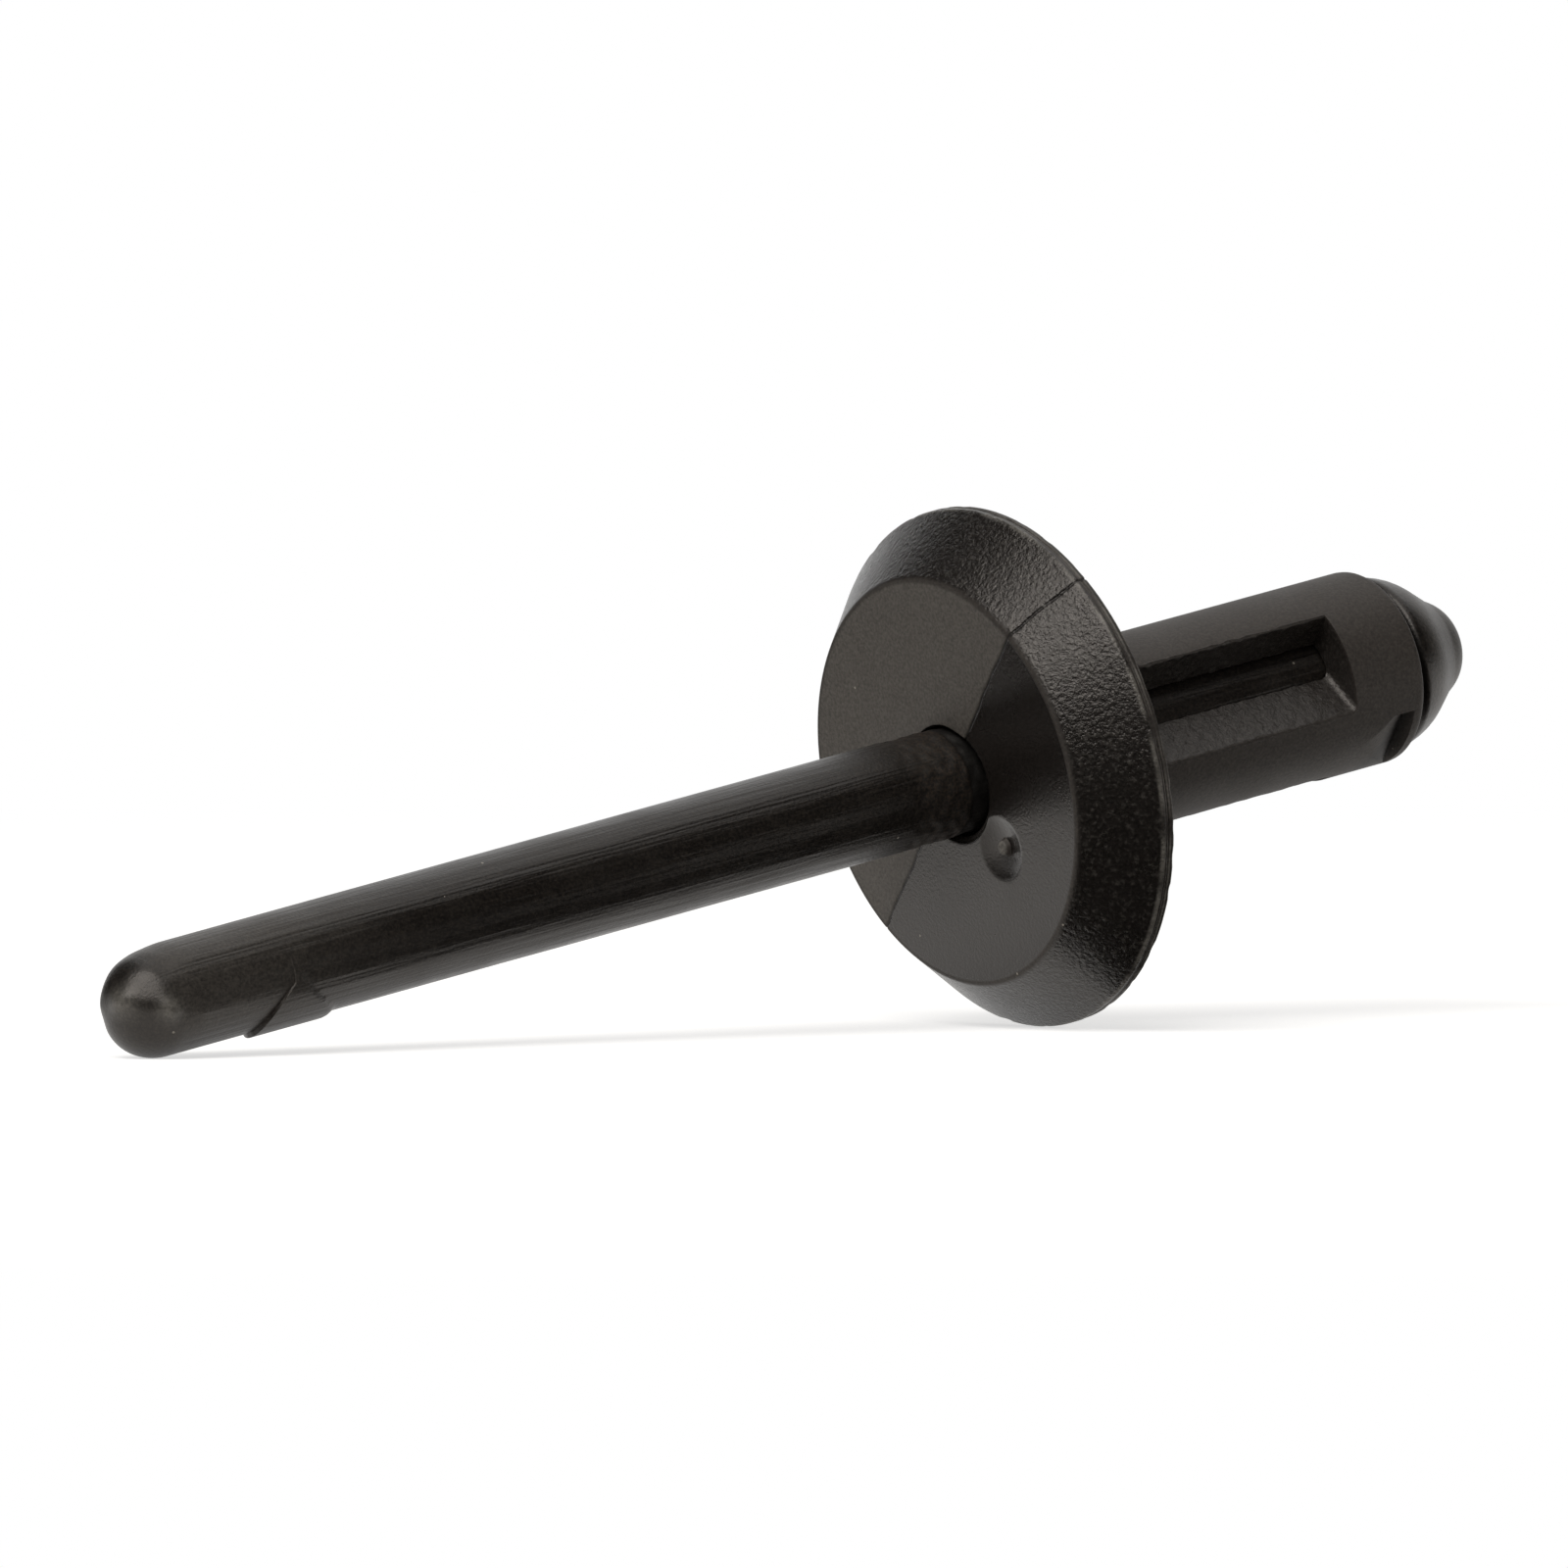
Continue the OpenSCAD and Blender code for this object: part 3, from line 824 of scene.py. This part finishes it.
    # The bevel's own dark colour, and on the gate's half of the face painted shade for the stem's dark
    # reflection
    bevel_and_gate_shade = add_node(tree, "ShaderNodeMath", {"operation": "MAXIMUM"}, i0=grain, i1=gate_half).outputs[0]
    # Painted shade at the stem's root, mottled
    mottled_root_shade = add_node(tree, "ShaderNodeMath", {"operation": "MULTIPLY"}, i0=root_shade, i1=mottle).outputs[0]
    # Painted glints on the crests of the bevel's grain
    crest = add_node(tree, "ShaderNodeMapRange", {"From Min": 0.52, "From Max": 0.68, "To Max": 0.28},
                     Value=pits).outputs[0]
    crest = add_node(tree, "ShaderNodeMath", {"operation": "MULTIPLY"}, i0=crest, i1=grain).outputs[0]
    tone = add_node(tree, "ShaderNodeRGB").outputs[0]
    tone.default_value = linear(colour)
    for amount, other in (
            (cloud, paler), (mottle, paler), (bevel_and_gate_shade, finish.bevel_colour), (crest, finish.highlight_colour),
            (painted_sheen, finish.sheen_colour), (mottled_root_shade, finish.root_shade_colour), (painted_highlight, finish.highlight_colour),
            (parting_and_shade, finish.parting_and_shade_colour), (dust, finish.dust_colour)):
        tone = add_node(tree, "ShaderNodeMix", {"data_type": "RGBA", 7: linear(other)},
                        i0=amount, i6=tone).outputs[2]
    # The skin's lows are darker than its tops: painted shade in the lows and painted light on the tops
    shade = add_node(tree, "ShaderNodeMapRange", {
        "From Min": 0.3, "From Max": 0.7, "To Min": 0.6, "To Max": 1.4}, Value=skin).outputs[0]
    tone = add_node(tree, "ShaderNodeVectorMath", {"operation": "SCALE"}, i0=tone, Scale=shade).outputs[0]
    # Its gloss is a little warm
    shader = add_node(tree, "ShaderNodeBsdfPrincipled", {"IOR": ior, "Specular Tint": (1.0, 0.935, 0.875, 1.0)},
                      Base_Color=tone, Roughness=rough, Normal=relief)
    add_node(tree, "ShaderNodeOutputMaterial", Surface=shader.outputs[0])
    return material


# Operators

class RIVET_OT_flange(bpy.types.Operator):
    """Makes the flange, its collar and the torn nub of the gate"""

    bl_idname = "rivet.flange"
    bl_label = "Flange"

    def execute(self, context):
        size, finish = context.scene.rivet_sizes, context.scene.rivet_finish
        material = moulded(BODY_PLASTIC, finish.body_colour, finish.mottle_colour, ior=1.53,
                           roughness=finish.body_roughness, patches=0.14, finish=finish)
        flange = make_mesh("flange", *flange_shape(size))
        nub = make_mesh("gate_nub", *nub_shape(size), sharp=60)
        for piece in (flange, nub):
            fitted(piece, "body", "rivet_body", material)
        return {"FINISHED"}


class RIVET_OT_sleeve(bpy.types.Operator):
    """Makes the three legs of the sleeve and the ring that closes them"""

    bl_idname = "rivet.sleeve"
    bl_label = "Sleeve legs and ring"

    def execute(self, context):
        size = context.scene.rivet_sizes
        material = bpy.data.materials[BODY_PLASTIC]
        half_leg, half_slot = size.leg_w / MM / 2, size.slot_w / MM / 2

        def level(side, half, sign):
            """A flank at a fixed y, with x from the radius: half is y's size, sign its sign, side that of x."""
            def flank(radius, flare):
                y = half + side * flare
                return np.stack([side * np.sqrt(radius ** 2 - y ** 2), sign * y])
            return flank

        def upright(sign):
            """The flank in the parting plane, x = 0, or tucked in behind it at the leg's ends."""
            def flank(radius, flare):
                tuck = np.minimum(flare, 0)
                return np.stack([tuck, sign * np.sqrt(radius ** 2 - tuck ** 2)])
            return flank

        pairs = {
            "leg_lower": (level(1, half_leg, -1), level(1, half_leg, 1)),
            "leg_back": (upright(1), level(-1, half_slot, 1)),
            "leg_front": (level(-1, half_slot, -1), upright(-1)),
        }
        for name, flanks in pairs.items():
            fitted(make_mesh(name, *leg_shape(size, *flanks)), "body", "rivet_body", material)
        fitted(make_mesh("sleeve_ring", *ring_shape(size)), "body", "rivet_body", material)
        return {"FINISHED"}


class RIVET_OT_mandrel(bpy.types.Operator):
    """Makes the mandrel with its stem, shaft, head and nose"""

    bl_idname = "rivet.mandrel"
    bl_label = "Mandrel"

    def execute(self, context):
        size, finish = context.scene.rivet_sizes, context.scene.rivet_finish
        material = moulded(MANDREL_PLASTIC, finish.mandrel_colour, finish.cloud_colour, ior=1.48,
                           roughness=finish.mandrel_roughness, patches=0.3, finish=finish)
        piece = make_mesh("pull_mandrel", *mandrel_shape(size))
        fitted(piece, "mandrel", "mandrel", material)
        return {"FINISHED"}


class RIVET_OT_stage(bpy.types.Operator):
    """Sets the floor, the light and the camera"""

    bl_idname = "rivet.stage"
    bl_label = "Stage"

    def execute(self, context):
        stage, scene = context.scene.rivet_stage, context.scene
        lowest = CAD_BOX[0][2]
        azimuth, elevation = stage.azimuth, stage.elevation
        right = Vector((math.cos(azimuth), math.sin(azimuth), 0))
        back = Vector((math.sin(azimuth) * math.cos(elevation), -math.cos(azimuth) * math.cos(elevation),
                       math.sin(elevation)))
        up = back.cross(right)
        toward = Vector((math.sin(azimuth), -math.cos(azimuth), 0))

        # Floor: matt white paper, lifted where it is seen, which far from the rivet turns plain white
        corners = np.array([(-1, -1), (1, -1), (1, 1), (-1, 1)]) * FLOOR_SPAN
        material, tree = blank_material("White paper floor")
        seen = background_rays(tree)
        place = add_node(tree, "ShaderNodeTexCoord").outputs["Object"]
        away = add_node(tree, "ShaderNodeVectorMath", {"operation": "LENGTH"}, i0=place)
        far = add_node(tree, "ShaderNodeMapRange", {
            "From Min": FLOOR_FADE[0], "From Max": FLOOR_FADE[1], "To Min": 0.0, "To Max": 1.0,
            "interpolation_type": "SMOOTHSTEP"}, Value=away.outputs["Value"])
        amount = add_node(tree, "ShaderNodeMath", {"operation": "MULTIPLY"}, i0=seen, i1=far.outputs[0])
        glow = add_node(tree, "ShaderNodeMath", {"operation": "MULTIPLY", 1: FLOOR_LIFT}, i0=seen)
        paper = add_node(tree, "ShaderNodeBsdfDiffuse", {"Color": linear(stage.floor_colour)})
        lift = add_node(tree, "ShaderNodeEmission", {"Color": (1, 1, 1, 1)}, Strength=glow.outputs[0])
        near = add_node(tree, "ShaderNodeAddShader", None, i0=paper.outputs[0], i1=lift.outputs[0])
        white = add_node(tree, "ShaderNodeEmission", {"Color": (1, 1, 1, 1), "Strength": 1.0})
        mixed = add_node(tree, "ShaderNodeMixShader", None, i0=amount.outputs[0], i1=near.outputs[0],
                         i2=white.outputs[0])
        add_node(tree, "ShaderNodeOutputMaterial", Surface=mixed.outputs[0])
        floor = make_mesh("floor", np.column_stack([corners, np.full(4, lowest)]), [np.array([[0, 1, 2, 3]])])
        floor.data.materials.append(material)

        # Black cloths round the set, of a pile that swallows light, seen only in the plastic's reflections
        velvet, tree = blank_material("Black velvet")
        dark = add_node(tree, "ShaderNodeBsdfDiffuse", {"Color": linear("#0a0a0a")})
        add_node(tree, "ShaderNodeOutputMaterial", Surface=dark.outputs[0])
        axes = np.array([right, toward, (0, 0, 1)])
        rows, columns = 13, 25
        for name, (turn_from, turn_to, low, high) in CLOTHS.items():
            turn = np.radians(np.linspace(turn_from, turn_to, columns))[None]
            rise = np.radians(np.linspace(low, high, rows))[:, None]
            ways = np.stack(np.broadcast_arrays(np.cos(rise) * np.sin(turn), np.cos(rise) * np.cos(turn),
                                                np.sin(rise)), -1)
            points = (ways @ axes * CLOTH_REACH).reshape(-1, 3)
            hang(make_mesh(name, points, [quads(rows, columns, False, False)]), velvet)
        # Two lie on the floor, in front of the rivet and behind its stem
        along = Vector((AXIS[0], AXIS[1], 0)).normalized()
        front = Vector((along.y, -along.x, 0))
        lift_off = Vector((0, 0, lowest + 0.1 * MM))
        for name, (back_edge, front_edge, left_edge, right_edge) in MATS.items():
            spots = [lift_off + front * depth + along * width for depth, width in (
                (back_edge, left_edge), (front_edge, left_edge),
                (front_edge, right_edge), (back_edge, right_edge))]
            hang(make_mesh(name, np.array(spots), [np.array([[0, 1, 2, 3]])]), velvet)

        # The key: a softbox above the camera and to its left
        lamp = bpy.data.lights.new("softbox", "AREA")
        lamp.shape = "RECTANGLE"
        lamp.size, lamp.size_y = SOFTBOX_SIDES
        lamp.energy = stage.key_power
        lamp.color = (1.0, 0.985, 0.965)
        softbox = bpy.data.objects.new("softbox", lamp)
        scene.collection.objects.link(softbox)
        way = right * SOFTBOX_WAY[0] + toward * SOFTBOX_WAY[1] + Vector((0, 0, SOFTBOX_WAY[2]))
        way.normalize()
        softbox.location = way * stage.key_reach
        softbox.rotation_mode = "QUATERNION"
        softbox.rotation_quaternion = (-way).to_track_quat("-Z", "Y")

        # A white room, which lights the rivet more softly than it is seen
        world = scene.world or bpy.data.worlds.new("room")
        scene.world = world
        world.use_nodes = True
        tree = world.node_tree
        tree.nodes.clear()
        room = add_node(tree, "ShaderNodeBackground", {
            "Color": (1.0, 0.98, 0.96, 1.0), "Strength": stage.room_level})
        white = add_node(tree, "ShaderNodeBackground", {"Color": (1, 1, 1, 1), "Strength": 1.0})
        mixed = add_node(tree, "ShaderNodeMixShader", None, i0=background_rays(tree), i1=room.outputs[0],
                         i2=white.outputs[0])
        add_node(tree, "ShaderNodeOutputWorld", Surface=mixed.outputs[0])

        # Camera, aimed by the place of the flat face's centre in the picture
        pixel = stage.frame_width / PICTURE
        face = Vector(AXIS) * -scene.rivet_sizes.flange_h
        target = face - right * (FACE_AT[0] * pixel) - up * (FACE_AT[1] * pixel)
        lens = bpy.data.cameras.new("camera")
        lens.sensor_fit, lens.sensor_width = "HORIZONTAL", 36.0
        lens.lens = lens.sensor_width * stage.distance / stage.frame_width
        lens.clip_start, lens.clip_end = 0.01, 100
        camera = bpy.data.objects.new("camera", lens)
        scene.collection.objects.link(camera)
        camera.location = target + back * stage.distance
        camera.rotation_mode = "QUATERNION"
        camera.rotation_quaternion = (-back).to_track_quat("-Z", "Y")
        scene.camera = camera
        scene.view_settings.view_transform = "Standard"
        return {"FINISHED"}


class RIVET_PT_sidebar(bpy.types.Panel):
    """Lists the rivet's sizes, finishes and steps"""

    bl_label = "Blind rivet"
    bl_idname = "RIVET_PT_sidebar"
    bl_space_type = "VIEW_3D"
    bl_region_type = "UI"
    bl_category = "Rivet"

    def draw(self, context):
        for group in (context.scene.rivet_sizes, context.scene.rivet_finish, context.scene.rivet_stage):
            box = self.layout.box()
            for key in group.__annotations__:
                box.prop(group, key)
        for step in STEPS:
            self.layout.operator(step.bl_idname)


STEPS = (RIVET_OT_flange, RIVET_OT_sleeve, RIVET_OT_mandrel, RIVET_OT_stage)
CLASSES = (RivetSizes, RivetFinish, RivetStage, *STEPS, RIVET_PT_sidebar)


def register():
    for cls in CLASSES:
        bpy.utils.register_class(cls)
    bpy.types.Scene.rivet_sizes = bpy.props.PointerProperty(type=RivetSizes)
    bpy.types.Scene.rivet_finish = bpy.props.PointerProperty(type=RivetFinish)
    bpy.types.Scene.rivet_stage = bpy.props.PointerProperty(type=RivetStage)


def unregister():
    del bpy.types.Scene.rivet_stage
    del bpy.types.Scene.rivet_finish
    del bpy.types.Scene.rivet_sizes
    for cls in reversed(CLASSES):
        bpy.utils.unregister_class(cls)


def main():
    register()
    bpy.ops.rivet.flange()
    bpy.ops.rivet.sleeve()
    bpy.ops.rivet.mandrel()
    bpy.ops.rivet.stage()


if __name__ == "__main__":
    main()
